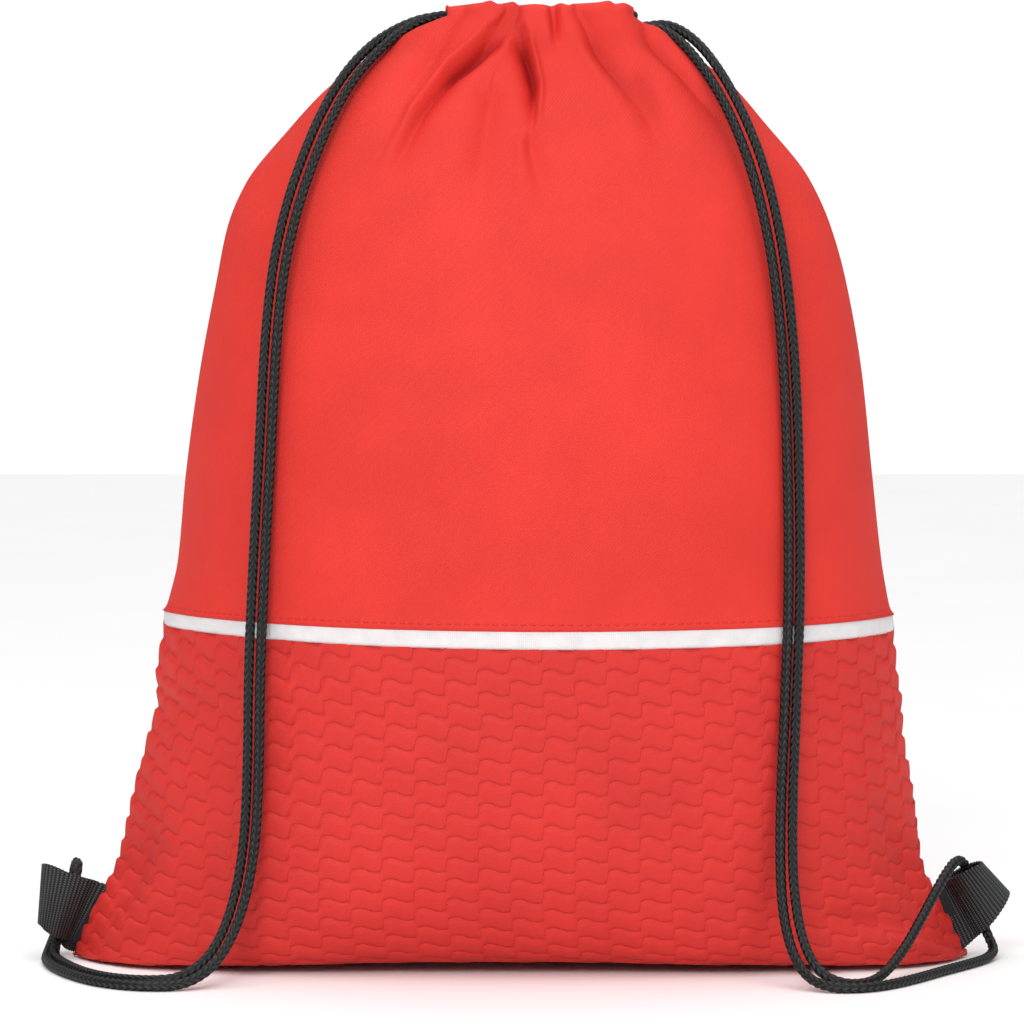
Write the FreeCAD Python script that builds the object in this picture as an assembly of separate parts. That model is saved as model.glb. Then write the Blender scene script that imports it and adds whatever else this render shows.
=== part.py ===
import FreeCAD, Part
import math
import os

from FreeCAD import Vector

# Drawstring backpack, standing stuffed on its base. Millimetres, +Z up, front towards -Y.
# The origin is on the ground under the middle of the bag.

# bag
corner_half = 168.0        # half width between the two bottom corners
bag_top = 348.0            # where the gathered panels end and the hem tunnels start
belly = 72.0               # half depth at the fullest height
foot_depth = 34.0          # half depth of the area that it rests on
cloth = 0.8                # thickness of the coated polyester
neck_x = 6.0               # the gathered neck stands this far right of the middle
neck_half = 36.0           # half width of the neck
neck_depth = 21.0          # half depth of the neck
trim_z = 124.0             # lower edge of the trim
trim_height = 7.5
trim_proud = 0.3           # how far the trim stands out of the panels
seam_allowance = 10.0      # overlocked edges inside the bag

# hem tunnels
tunnel_height = 13.0
tunnel_width = 7.6         # outside, across both walls
tunnel_half = 32.0         # half length along X
tunnel_mid_y = 14.0        # middle of the tunnel at its centre
tunnel_end_y = 6.4         # middle of the tunnel at its ends

# cords
cord_dia = 3.8
lane_clear = 0.3           # between the upper cord and the cloth over it
lane_gap = 0.4             # between the two cords inside the tunnels
exit_run = 9.0             # straight stretch of cord out of a tunnel

# webbing tabs
tab_width = 25.0
web = 1.2                  # webbing thickness
tab_reach = 20.0           # from the seam to the fold
tab_bulge = 7.0            # half thickness of the open loop, to the middle of the webbing
tab_root = 7.0             # length of webbing sewn into the seam
tab_gap = 1.0              # flexing gap between the sewn root and the loop
left_twist = -34.0         # how far the fold turns forwards at its lower end, in degrees
left_fan = -27.4           # and how far it turns in the plane of the seam
right_twist = 43.0
right_fan = 15.0
left_lift = 0.0            # how far the tab points above the seam's own normal
right_lift = 15.0
left_skew = 4.0            # how much lower the rear layer lies than the front one
right_skew = 0.0
tab_out = 7.5              # upper end of the tab, in from the bottom corner
tab_up = 28.5              # and above the ground
tab_lean = 27.4            # how far the seam leans outwards there, in degrees

# stitches
thread = 0.5
stitch = 2.2
stitch_pitch = 3.4
edge_to_stitch = 1.8       # from the trim to its row of stitches

left_lane = bag_top + tunnel_height - cloth - lane_clear - cord_dia / 2
right_lane = left_lane - cord_dia - lane_gap
trim_top = trim_z + trim_height
mouth_left = neck_x - tunnel_half
mouth_right = neck_x + tunnel_half

# the tunnels bend on one radius, and the cords leave along its tangent
sagitta = tunnel_mid_y - tunnel_end_y
bend = (tunnel_half ** 2 + sagitta ** 2) / (2 * sagitta)
half_turn = math.asin(tunnel_half / bend)
exit_x = exit_run * math.cos(half_turn)
exit_y = tunnel_end_y - exit_run * math.sin(half_turn)

# Route of the left cord: out of the front tunnel, over the shoulder, down the front, round
# the floor, up behind the tab, over its rear layer, down through it and up to the rear tunnel.
left_route = (
    (mouth_left, -tunnel_end_y, left_lane),
    (mouth_left - exit_x, -exit_y, left_lane),
    (-44.0, -3.4, 353.2),
    (-54.0, -10.6, 344.6),
    (-63.6, -18.6, 333.2),
    (-71.4, -26.0, 318.4),
    (-78.0, -32.4, 301.6),
    (-84.0, -37.2, 283.0),
    (-88.6, -41.0, 261.0),
    (-91.2, -45.2, 233.0),
    (-92.8, -49.6, 197.0),
    (-95.0, -52.8, 156.0),
    (-96.9, -54.2, 114.0),
    (-97.2, -55.8, 77.0),
    (-98.6, -59.4, 48.0),
    (-103.0, -66.0, 25.5),
    (-111.0, -75.5, 9.0),
    (-122.5, -84.0, 1.95),
    (-138.0, -86.5, 1.95),
    (-154.5, -76.5, 1.95),
    (-167.0, -57.5, 1.95),
    (-175.4, -38.0, 1.95),
    (-179.8, -20.8, 1.95),
    (-180.8, -6.6, 2.0),
    (-180.6, 4.6, 3.8),
    (-178.0, 11.8, 10.8),
    (-174.6, 15.0, 20.6),
    (-172.8, 15.2, 29.6),
    (-171.2, 11.4, 35.6),
    (-169.8, 5.8, 34.6),
    (-171.0, 1.9, 27.2),
    (-173.9, -0.6, 18.6),
    (-177.0, -1.4, 9.0),
    (-178.2, -6.4, 2.0),
    (-175.9, -18.4, 1.95),
    (-169.4, -36.0, 1.95),
    (-160.8, -54.4, 1.95),
    (-149.8, -71.0, 2.6),
    (-136.6, -80.6, 3.2),
    (-124.4, -79.0, 3.8),
    (-113.8, -71.4, 11.2),
    (-106.8, -62.8, 27.0),
    (-102.8, -57.4, 49.0),
    (-101.5, -54.6, 78.0),
    (-101.2, -53.2, 115.0),
    (-99.3, -51.8, 157.0),
    (-97.1, -48.4, 198.0),
    (-95.5, -43.8, 234.0),
    (-92.8, -39.4, 262.6),
    (-88.0, -35.2, 285.4),
    (-81.8, -29.8, 304.4),
    (-74.8, -22.8, 321.6),
    (-66.4, -14.6, 336.4),
    (-56.2, -5.8, 347.6),
    (-45.0, 1.6, 354.6),
    (mouth_left - exit_x, exit_y, left_lane),
    (mouth_left, tunnel_end_y, left_lane),
)

# Route of the right cord: out of the front tunnel, down the front, round the floor, up
# through the tab, out over its front layer, down to the floor and up to the rear tunnel.
right_route = (
    (mouth_right, -tunnel_end_y, right_lane),
    (mouth_right + exit_x, -exit_y, right_lane),
    (54.6, -3.6, 352.6),
    (63.0, -10.0, 344.8),
    (71.6, -17.6, 332.4),
    (79.0, -25.2, 317.4),
    (85.2, -32.0, 300.2),
    (90.2, -36.8, 280.4),
    (94.2, -40.4, 256.6),
    (97.0, -44.8, 225.0),
    (98.2, -49.2, 186.0),
    (98.6, -52.2, 144.0),
    (97.2, -53.8, 104.0),
    (95.6, -56.2, 70.0),
    (95.0, -60.6, 44.0),
    (95.8, -66.6, 25.4),
    (98.8, -75.0, 12.2),
    (104.0, -83.8, 4.2),
    (112.6, -90.2, 1.95),
    (124.2, -89.4, 1.95),
    (134.6, -80.6, 1.95),
    (144.8, -66.6, 1.95),
    (157.0, -46.6, 1.95),
    (168.8, -29.0, 1.95),
    (177.0, -14.4, 1.95),
    (180.2, -4.0, 3.4),
    (177.6, 2.0, 9.0),
    (174.6, 0.8, 18.0),
    (172.0, -2.0, 27.6),
    (169.0, -6.0, 36.0),
    (165.0, -12.2, 39.4),
    (160.4, -20.4, 35.6),
    (154.4, -31.4, 28.0),
    (148.0, -43.4, 19.4),
    (141.2, -56.4, 11.0),
    (132.8, -71.4, 4.2),
    (125.8, -81.0, 2.2),
    (116.4, -85.0, 2.6),
    (108.2, -81.0, 6.2),
    (103.4, -73.6, 14.4),
    (100.6, -66.0, 27.2),
    (99.5, -60.0, 45.4),
    (100.0, -55.6, 71.0),
    (101.5, -53.0, 105.0),
    (102.9, -50.8, 145.0),
    (102.5, -47.4, 187.0),
    (101.3, -43.2, 226.0),
    (98.5, -39.0, 258.0),
    (94.6, -34.8, 282.6),
    (89.4, -29.6, 303.0),
    (82.8, -22.4, 320.4),
    (75.0, -14.2, 336.0),
    (65.8, -6.2, 348.6),
    (55.6, 1.2, 355.2),
    (mouth_right + exit_x, exit_y, right_lane),
    (mouth_right, tunnel_end_y, right_lane),
)

# Levels of the bag: height, half width, half depth, offset to the right, roundness.
levels = (
    (0.0, corner_half - 3, foot_depth, 0.0, 0.62),
    (10.0, corner_half, foot_depth + 14, 0.0, 0.66),
    (45.0, corner_half - 15, belly - 6, 0.0, 0.72),
    (90.0, corner_half - 25, belly, 0.0, 0.76),
    (bag_top - 168, corner_half - 37, belly - 1, 0.0, 0.78),
    (bag_top - 98, corner_half - 47, belly - 12, 0.5, 0.78),
    (bag_top - 58, corner_half - 56, belly - 24, 1.5, 0.78),
    (bag_top - 28, corner_half - 78, belly - 36, 3.5, 0.78),
    (bag_top - 9, neck_half + 26, neck_depth + 6, 5.5, 0.8),
    (bag_top, neck_half, neck_depth, neck_x, 0.84),
)


# one level: two arched curves that meet at the side seams
def lens(z, half, depth, middle, roundness):
    left = Vector(middle - half, 0, z)
    right = Vector(middle + half, 0, z)
    edges = []
    for start, end, way in ((left, right, -1), (right, left, 1)):
        reach = (end - start) * (roundness / 2)
        middle_point = Vector(middle, way * depth * 4 / 3, z)
        curve = Part.BezierCurve()
        curve.setPoles([start, middle_point - reach, middle_point + reach, end])
        edges.append(curve.toShape())
    return Part.Wire(edges)


def bag_solid(inset):
    wires = [lens(z, half - inset, depth - inset, middle, roundness)
             for z, half, depth, middle, roundness in levels]
    return Part.makeLoft(wires, True, False)


def block(x0, y0, z0, x1, y1, z1):
    return Part.makeBox(x1 - x0, y1 - y0, z1 - z0, Vector(x0, y0, z0))


far = 400.0
outer = bag_solid(0)
inner = bag_solid(cloth).common(block(-far, -far, cloth, far, far, far))
neck = levels[-1]
mouth_wire = lens(bag_top - cloth, neck[1] - cloth, neck[2] - cloth, neck[3], neck[4])
mouth = Part.Face(mouth_wire).extrude(Vector(0, 0, 3 * cloth))
shell = outer.cut(inner).cut(mouth)


# a direction in the plane of the side seams, given in degrees: 0 points down, 90 away from the bag
def seam_way(side, degrees):
    angle = math.radians(degrees)
    return Vector(side * math.sin(angle), 0, -math.cos(angle))


# middle of the tab on its seam, the direction down the seam and the one away from the bag
def side_frame(side):
    down = seam_way(side, tab_lean)
    out = seam_way(side, tab_lean + 90)
    top = Vector(side * (corner_half - tab_out), 0, tab_up)
    return top + down * (tab_width / 2), down, out


# the two webbing ends sewn flat into the side seam
def root_solid(side):
    middle, down, out = side_frame(side)
    face = Part.Face(Part.makePolygon([
        middle + down * a + out * b
        for a, b in ((-tab_width / 2, -tab_root), (tab_width / 2, -tab_root),
                     (tab_width / 2, 0), (-tab_width / 2, 0), (-tab_width / 2, -tab_root))
    ]))
    plate = face.extrude(Vector(0, 2 * web, 0))
    plate.translate(Vector(0, -web, 0))
    return plate


# the folded webbing seen along the seam: outward distance and depth of its middle
def loop_stations():
    return (
        (tab_gap, -0.75 * web),
        (0.22 * tab_reach, -0.55 * tab_bulge),
        (0.48 * tab_reach, -0.94 * tab_bulge),
        (0.74 * tab_reach, -0.86 * tab_bulge),
        (0.92 * tab_reach, -0.48 * tab_bulge),
        (0.97 * tab_reach, 0.0),
        (0.92 * tab_reach, 0.48 * tab_bulge),
        (0.74 * tab_reach, 0.86 * tab_bulge),
        (0.48 * tab_reach, 0.94 * tab_bulge),
        (0.22 * tab_reach, 0.55 * tab_bulge),
        (tab_gap, 0.75 * web),
    )


# a strip of webbing that leaves the seam, turns over at the fold and comes back
def loop_solid(side, twist, fan, lift, skew):
    middle = side_frame(side)[0]
    out = seam_way(side, tab_lean + 90 + lift)
    stations = loop_stations()
    sections = []
    last = len(stations) - 1
    for i, (reach, depth) in enumerate(stations):
        before = stations[max(i - 1, 0)]
        after = stations[min(i + 1, last)]
        along = out * (after[0] - before[0]) + Vector(0, after[1] - before[1], 0)
        share = reach / tab_reach
        turn = math.radians(twist) * share
        across = seam_way(side, tab_lean + fan * share) * math.cos(turn) + Vector(0, math.sin(turn), 0)
        centre = middle + out * reach + Vector(0, depth, 0) + across * (skew * i / last)
        thick = along.cross(across)
        thick.normalize()
        half_across = across * (tab_width / 2)
        half_thick = thick * (web / 2)
        sections.append(Part.makePolygon([
            centre - half_across - half_thick,
            centre + half_across - half_thick,
            centre + half_across + half_thick,
            centre - half_across + half_thick,
            centre - half_across - half_thick,
        ]))
    return Part.makeLoft(sections, True, False)


roots = {side: root_solid(side) for side in (-1, 1)}
front_half = block(-far, -far, -far, far, 0, far)
back_half = block(-far, 0, -far, far, far, far)
body = shell.cut(roots[-1]).cut(roots[1])
front = body.common(front_half)

nodes = {}
nodes["back_panel"] = body.common(back_half)
nodes["front_lower_panel"] = front.common(block(-far, -far, -1, far, 1, trim_z))
nodes["front_upper_panel"] = front.common(block(-far, -far, trim_top, far, 1, far))
band = bag_solid(-trim_proud).cut(bag_solid(cloth))
nodes["trim_band"] = band.common(block(-far, -far, trim_z, far, 0, trim_top))

# overlocked seam allowance round the sides and the bottom, inside the bag
strip = inner.cut(bag_solid(cloth + seam_allowance).common(
    block(-far, -far, cloth + seam_allowance, far, far, far)))
strip = strip.common(block(-far, -cloth, 0, far, cloth, levels[-3][0]))
nodes["seam_overlock"] = strip.cut(roots[-1]).cut(roots[1])


# hem tunnels
# a curved bar on one side of the neck, way -1 for the front and 1 for the back
def arc_band(centre_y, way, inside, outside, low, high):
    def at(radius, turn):
        return Vector(neck_x + radius * math.sin(turn), centre_y + way * radius * math.cos(turn), low)
    edges = [
        Part.Arc(at(outside, -half_turn), at(outside, 0), at(outside, half_turn)).toShape(),
        Part.makeLine(at(outside, half_turn), at(inside, half_turn)),
        Part.Arc(at(inside, half_turn), at(inside, 0), at(inside, -half_turn)).toShape(),
        Part.makeLine(at(inside, -half_turn), at(outside, -half_turn)),
    ]
    return Part.Face(Part.Wire(edges)).extrude(Vector(0, 0, high - low))


for name, way in (("front_hem_tunnel", -1), ("back_hem_tunnel", 1)):
    centre_y = way * (tunnel_mid_y - bend)
    half_width = tunnel_width / 2
    whole = arc_band(centre_y, way, bend - half_width, bend + half_width,
                     bag_top, bag_top + tunnel_height)
    hollow = arc_band(centre_y, way, bend - half_width + cloth, bend + half_width - cloth,
                      bag_top + cloth, bag_top + tunnel_height - cloth)
    nodes[name] = whole.cut(hollow)


# cords
def tube(path, radius):
    start = path.Edges[0]
    origin = start.valueAt(start.FirstParameter)
    heading = start.tangentAt(start.FirstParameter)
    ring = Part.Wire(Part.makeCircle(radius, origin, heading))
    return path.makePipeShell([ring], True, False)


# straight runs joined by tangent arcs, each as large as its two runs allow
def rounded_path(points, label):
    points = [Vector(*p) for p in points]
    edges = []
    start = points[0]
    radii = []
    for before, corner, after in zip(points, points[1:], points[2:]):
        back = before - corner
        ahead = after - corner
        run = min(back.Length, ahead.Length)
        back.normalize()
        ahead.normalize()
        turn = math.pi - back.getAngle(ahead)
        radius = 0.45 * run / math.tan(turn / 2)
        radii.append(radius)
        first = corner + back * 0.45 * run
        second = corner + ahead * 0.45 * run
        inward = back + ahead
        inward.normalize()
        middle = corner + inward * (radius / math.cos(turn / 2) - radius)
        edges.append(Part.LineSegment(start, first).toShape())
        edges.append(Part.Arc(first, middle, second).toShape())
        start = second
    edges.append(Part.LineSegment(start, points[-1]).toShape())
    print(label, "radii", " ".join(str(round(r)) for r in radii))
    return Part.Wire(edges)


# the cord inside both tunnels, with a turn at the far end of the neck
def held_path(side, lane):
    near = side * tunnel_half
    def at(x, y):
        return Vector(neck_x + x, y, lane)
    turn_radius = tunnel_end_y / math.cos(half_turn)
    turn_tip = -near - side * (turn_radius - tunnel_end_y * math.tan(half_turn))
    edges = [
        Part.Arc(at(near, -tunnel_end_y), at(0, -tunnel_mid_y), at(-near, -tunnel_end_y)),
        Part.Arc(at(-near, -tunnel_end_y), at(turn_tip, 0), at(-near, tunnel_end_y)),
        Part.Arc(at(-near, tunnel_end_y), at(0, tunnel_mid_y), at(near, tunnel_end_y)),
    ]
    return Part.Wire([edge.toShape() for edge in edges])


for name, side, lane, route in (("left_cord", -1, left_lane, left_route),
                                ("right_cord", 1, right_lane, right_route)):
    free = rounded_path(route, name)
    held = held_path(side, lane)
    for node, path in ((name, free), (name + "_tunnel_run", held)):
        nodes[node] = tube(path, cord_dia / 2)
        expected = math.pi * cord_dia ** 2 / 4 * path.Length
        print(node, "length", round(path.Length), "volume share",
              round(nodes[node].Volume / expected, 4))


# webbing tabs
for name, side, twist, fan, lift, skew in (
        ("left", -1, left_twist, left_fan, left_lift, left_skew),
        ("right", 1, right_twist, right_fan, right_lift, right_skew)):
    nodes[name + "_tab_root"] = roots[side]
    nodes[name + "_webbing_tab"] = loop_solid(side, twist, fan, lift, skew)


# stitches
def thread_piece(middle, along):
    axis = Vector(along)
    axis.normalize()
    return Part.makeCylinder(thread / 2, stitch, middle - axis * (stitch / 2), axis)


def topstitch_row(height):
    row = outer.slice(Vector(0, 0, 1), height)[0]
    front_edge = min(row.Edges, key=lambda edge: edge.CenterOfMass.y)
    count = int(front_edge.Length / stitch_pitch)
    pieces = []
    for i in range(count):
        at = front_edge.getParameterByLength((i + 0.5) * front_edge.Length / count)
        along = front_edge.tangentAt(at)
        outwards = along.cross(Vector(0, 0, 1))
        outwards.normalize()
        if outwards.y > 0:
            outwards = -outwards
        pieces.append(thread_piece(front_edge.valueAt(at) + outwards * (thread / 2 + 0.05), along))
    return Part.Compound(pieces)


nodes["trim_topstitch"] = topstitch_row(trim_top + edge_to_stitch)

os.makedirs("parts", exist_ok=True)
for name in sorted(nodes):
    shape = nodes[name]
    shape.exportStep("parts/" + name + ".step")
    print(name, shape.ShapeType, len(shape.Solids), shape.isValid(), round(shape.Volume / 1000, 2))
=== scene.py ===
import math

import bmesh
import bpy
import numpy as np
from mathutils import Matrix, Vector


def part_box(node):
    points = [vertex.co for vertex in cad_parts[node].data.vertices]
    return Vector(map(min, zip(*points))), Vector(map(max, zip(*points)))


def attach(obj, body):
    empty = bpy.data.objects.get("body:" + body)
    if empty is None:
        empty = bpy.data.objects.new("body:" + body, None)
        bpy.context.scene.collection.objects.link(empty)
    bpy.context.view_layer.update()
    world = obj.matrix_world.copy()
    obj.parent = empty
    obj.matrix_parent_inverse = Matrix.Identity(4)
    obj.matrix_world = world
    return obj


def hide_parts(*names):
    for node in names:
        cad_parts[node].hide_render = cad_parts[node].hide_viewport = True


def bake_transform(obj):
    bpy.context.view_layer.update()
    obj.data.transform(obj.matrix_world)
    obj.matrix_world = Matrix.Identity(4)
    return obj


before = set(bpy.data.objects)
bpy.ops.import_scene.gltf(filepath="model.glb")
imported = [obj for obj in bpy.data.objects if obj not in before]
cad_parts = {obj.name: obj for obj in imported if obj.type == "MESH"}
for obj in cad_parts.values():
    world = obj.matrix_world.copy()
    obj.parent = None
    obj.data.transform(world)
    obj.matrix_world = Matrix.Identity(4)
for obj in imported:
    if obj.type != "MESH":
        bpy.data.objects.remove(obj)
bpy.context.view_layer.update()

mm = 0.001


view = {
    "aim": (-3.8, 0.0, 170.2),
    "distance": 1800.0,
    "elevation": 3.1,       # degrees above the horizon
    "lens": 166.5,
}


def makeCamera():
    tilt = math.radians(view["elevation"])
    aim = Vector(view["aim"]) * mm
    back = Vector((0, -math.cos(tilt), math.sin(tilt))) * view["distance"] * mm
    data = bpy.data.cameras.new("studioCamera")
    data.lens = view["lens"]
    data.sensor_width = 36
    data.clip_end = 20
    camera = bpy.data.objects.new("studioCamera", data)
    camera.location = aim + back
    camera.rotation_euler = (math.radians(90) - tilt, 0, 0)
    bpy.context.collection.objects.link(camera)
    bpy.context.scene.camera = camera
    bpy.context.scene.view_settings.view_transform = "Standard"


makeCamera()
print("camera ready")


def linearColour(hexText, alpha=1.0):
    channels = []
    for start in (0, 2, 4):
        value = int(hexText[start:start + 2], 16) / 255
        channels.append(value / 12.92 if value <= 0.04045 else ((value + 0.055) / 1.055) ** 2.4)
    return (*channels, alpha)


# adds a node: settings by attribute, links by input name or number, from a node's first output
# or from a (node, output) pair, and plain values into the inputs left
def addNode(tree, kind, links=None, values=None, **settings):
    node = tree.nodes.new(kind)
    for key, value in settings.items():
        setattr(node, key, value)
    for key, source in (links or {}).items():
        output = source.outputs[0] if isinstance(source, bpy.types.Node) else source[0].outputs[source[1]]
        tree.links.new(output, node.inputs[key])
    for key, value in (values or {}).items():
        node.inputs[key].default_value = value
    return node


def newMaterial(name):
    material = bpy.data.materials.new(name)
    material.use_nodes = True
    tree = material.node_tree
    return material, tree, tree.nodes["Principled BSDF"]


def mathNode(tree, operation, first, second=None, third=None):
    links, values = {}, {}
    for i, item in enumerate((first, second, third)):
        if item is None:
            continue
        if isinstance(item, (int, float)):
            values[i] = item
        else:
            links[i] = item
    return addNode(tree, "ShaderNodeMath", links, values, operation=operation)


# 600 denier polyester plain weave with a coated back, dyed red: matt with a faint satin bloom
# at grazing angles, and a fine diagonal line from the yarns' twist
polyester = {
    "lit": "D8362E",
    "deep": "C92F28",
    "diagonal": 0.95,       # mm between the diagonal lines, drawn coarser than the real 0.5 to show
    "yarn": 0.48,
    "roughness": 0.62,
    # painted shade: the colour that the deep folds and the bottoms of the emboss cells darken towards
    "fold": "9C1216",
    "cloud": 42.0,          # mm across the dye's uneven patches
}

# the same cloth with a heat-pressed relief: the pressed lines are a little glossier, and painted shade
# darkens the bottom of each cell just above the next line
emboss = {
    "column": 11.9,         # mm, one cell wide
    "row": 8.25,            # mm, one cell high
    "wave": 0.8,            # how far the line swings up and down inside a cell
    "link": 0.07,           # share of the cell that the step to the next column takes
    "start": 5.0,           # mm from the middle of the panel to a column's side
    "lean": 0.045,          # the columns lean a little to the left on the way down
    "relief": 1.15,         # mm
}


def clothBase(tree, shader, colours, lines):
    uv = addNode(tree, "ShaderNodeUVMap", uv_map="flat")
    split = addNode(tree, "ShaderNodeSeparateXYZ", {0: uv})
    across = mathNode(tree, "MULTIPLY", (split, 0), 1000.0)
    along = mathNode(tree, "MULTIPLY", (split, 1), 1000.0)
    # diagonal line
    skew = mathNode(tree, "SUBTRACT", along, across)
    turns = mathNode(tree, "MULTIPLY", skew, 2 * math.pi / (lines["diagonal"] * math.sqrt(2)))
    diagonal = mathNode(tree, "SINE", turns)
    # yarns, over and under
    warp = mathNode(tree, "SINE", mathNode(tree, "MULTIPLY", across, math.pi / lines["yarn"]))
    weft = mathNode(tree, "SINE", mathNode(tree, "MULTIPLY", along, math.pi / lines["yarn"]))
    weave = mathNode(tree, "MULTIPLY", warp, weft)
    place = addNode(tree, "ShaderNodeTexCoord")
    cloud = addNode(tree, "ShaderNodeTexNoise", {"Vector": (place, "Object")},
                    {"Scale": 1000 / lines["cloud"], "Detail": 3.0, "Roughness": 0.55})
    fuzz = addNode(tree, "ShaderNodeTexNoise", {"Vector": (place, "Object")},
                   {"Scale": 900.0, "Detail": 2.0})
    tone = mathNode(tree, "MULTIPLY_ADD", diagonal, 0.13, (cloud, "Fac"))
    tone = mathNode(tree, "MULTIPLY_ADD", (fuzz, "Fac"), 0.16, tone)
    ramp = addNode(tree, "ShaderNodeMapRange", {0: tone}, {1: 0.36, 2: 0.86})
    colour = addNode(tree, "ShaderNodeMix", {0: ramp}, {6: linearColour(colours[0]),
                     7: linearColour(colours[1])}, data_type="RGBA")
    paintedFoldShade = addNode(tree, "ShaderNodeAttribute", attribute_name="paintedFoldShade")    # painted shade: the colour darkens towards the fold colour where the cloth sinks into a fold
    shaded = addNode(tree, "ShaderNodeMix", {0: (paintedFoldShade, "Fac"), 6: (colour, 2)},
                     {7: linearColour(lines["fold"])}, data_type="RGBA")
    tree.links.new(shaded.outputs[2], shader.inputs["Base Color"])
    height = mathNode(tree, "MULTIPLY_ADD", diagonal, 0.5, weave)
    height = mathNode(tree, "MULTIPLY_ADD", (fuzz, "Fac"), 0.5, height)
    rough = mathNode(tree, "MULTIPLY_ADD", (fuzz, "Fac"), 0.16, lines["roughness"] - 0.08)
    tree.links.new(rough.outputs[0], shader.inputs["Roughness"])
    return across, along, height


def wovenPolyester():
    material, tree, shader = newMaterial("dyedPolyesterOxford")
    height = clothBase(tree, shader, (polyester["deep"], polyester["lit"]), polyester)[2]
    bump = addNode(tree, "ShaderNodeBump", {"Height": height}, {"Strength": 0.35, "Distance": 0.00012})
    tree.links.new(bump.outputs[0], shader.inputs["Normal"])
    shader.inputs["Sheen Weight"].default_value = 0.03
    shader.inputs["Sheen Tint"].default_value = linearColour("FF5A48")
    shader.inputs["Specular IOR Level"].default_value = 0.2
    return material


# the pressed line climbs one half row at each column's side, so it goes on as one stair
def embossNodes(tree, across, along):
    column = mathNode(tree, "MULTIPLY_ADD", along, emboss["lean"], across)
    column = mathNode(tree, "DIVIDE", mathNode(tree, "SUBTRACT", column, emboss["start"]), emboss["column"])
    number = mathNode(tree, "FLOOR", column)
    share = mathNode(tree, "FRACT", column)
    step = addNode(tree, "ShaderNodeMapRange", {0: share},
                   {1: 1 - emboss["link"], 2: 1.0}, interpolation_type="SMOOTHSTEP")
    stair = mathNode(tree, "MULTIPLY", mathNode(tree, "ADD", number, step), 0.5)
    wave = mathNode(tree, "SINE", mathNode(tree, "MULTIPLY", share, 2 * math.pi))
    line = mathNode(tree, "MULTIPLY_ADD", wave, emboss["wave"] / emboss["row"], stair)
    rows = mathNode(tree, "DIVIDE", along, emboss["row"])
    return mathNode(tree, "FRACT", mathNode(tree, "SUBTRACT", line, rows))


def embossedPolyester():
    material, tree, shader = newMaterial("heatEmbossedPolyester")
    across, along, height = clothBase(tree, shader, ("C02A25", "CF302A"), polyester)
    below = embossNodes(tree, across, along)    # 0 on the line to 1 at the next line down
    rise = addNode(tree, "ShaderNodeMapRange", {0: below}, {1: 0.0, 2: 0.1},
                   interpolation_type="SMOOTHSTEP")
    press = addNode(tree, "ShaderNodeMapRange", {0: below}, {1: 0.93, 2: 1.0, 3: 1.0, 4: 0.0},
                    interpolation_type="SMOOTHSTEP")
    lip = mathNode(tree, "MULTIPLY", rise, press)
    # painted shade: the colour darkens towards the fold colour at the bottom of each cell, just above the
    # next pressed line
    paintedLineShade = addNode(tree, "ShaderNodeMapRange", {0: below}, {1: 0.80, 2: 0.97, 3: 0.0, 4: 0.3},
                    interpolation_type="SMOOTHSTEP")
    before = shader.inputs["Base Color"].links[0].from_node
    lineShaded = addNode(tree, "ShaderNodeMix", {0: paintedLineShade, 6: (before, 2)},
                      {7: linearColour(polyester["fold"])}, data_type="RGBA")
    tree.links.new(lineShaded.outputs[2], shader.inputs["Base Color"])
    fine = addNode(tree, "ShaderNodeBump", {"Height": height}, {"Strength": 0.2, "Distance": 0.0001})
    bump = addNode(tree, "ShaderNodeBump", {"Height": lip, "Normal": fine},
                   {"Strength": 0.6, "Distance": 0.0004})
    tree.links.new(bump.outputs[0], shader.inputs["Normal"])
    shader.inputs["Sheen Weight"].default_value = 0.03
    shader.inputs["Sheen Tint"].default_value = linearColour("FF5A48")
    shader.inputs["Specular IOR Level"].default_value = 0.28
    return material


# folded grosgrain tape: white polyester, its fine ribs across the band
def whiteTape():
    material, tree, shader = newMaterial("whiteGrosgrainTape")
    uv = addNode(tree, "ShaderNodeUVMap", uv_map="flat")
    split = addNode(tree, "ShaderNodeSeparateXYZ", {0: uv})
    rib = mathNode(tree, "SINE", mathNode(tree, "MULTIPLY", (split, 0), 2 * math.pi / 0.0007))
    cross = mathNode(tree, "SINE", mathNode(tree, "MULTIPLY", (split, 1), 2 * math.pi / 0.0009))
    weave = mathNode(tree, "MULTIPLY_ADD", cross, 0.5, rib)
    place = addNode(tree, "ShaderNodeTexCoord")
    dust = addNode(tree, "ShaderNodeTexNoise", {"Vector": (place, "Object")}, {"Scale": 160.0, "Detail": 4.0})
    tone = addNode(tree, "ShaderNodeMapRange", {0: (dust, "Fac")}, {1: 0.3, 2: 0.7})
    colour = addNode(tree, "ShaderNodeMix", {0: tone}, {6: linearColour("CFCBCC"),
                     7: linearColour("DAD7D8")}, data_type="RGBA")
    tree.links.new(colour.outputs[2], shader.inputs["Base Color"])
    bump = addNode(tree, "ShaderNodeBump", {"Height": weave}, {"Strength": 0.3, "Distance": 0.0001})
    tree.links.new(bump.outputs[0], shader.inputs["Normal"])
    shader.inputs["Roughness"].default_value = 0.55
    shader.inputs["Sheen Weight"].default_value = 0.1
    return material


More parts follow.
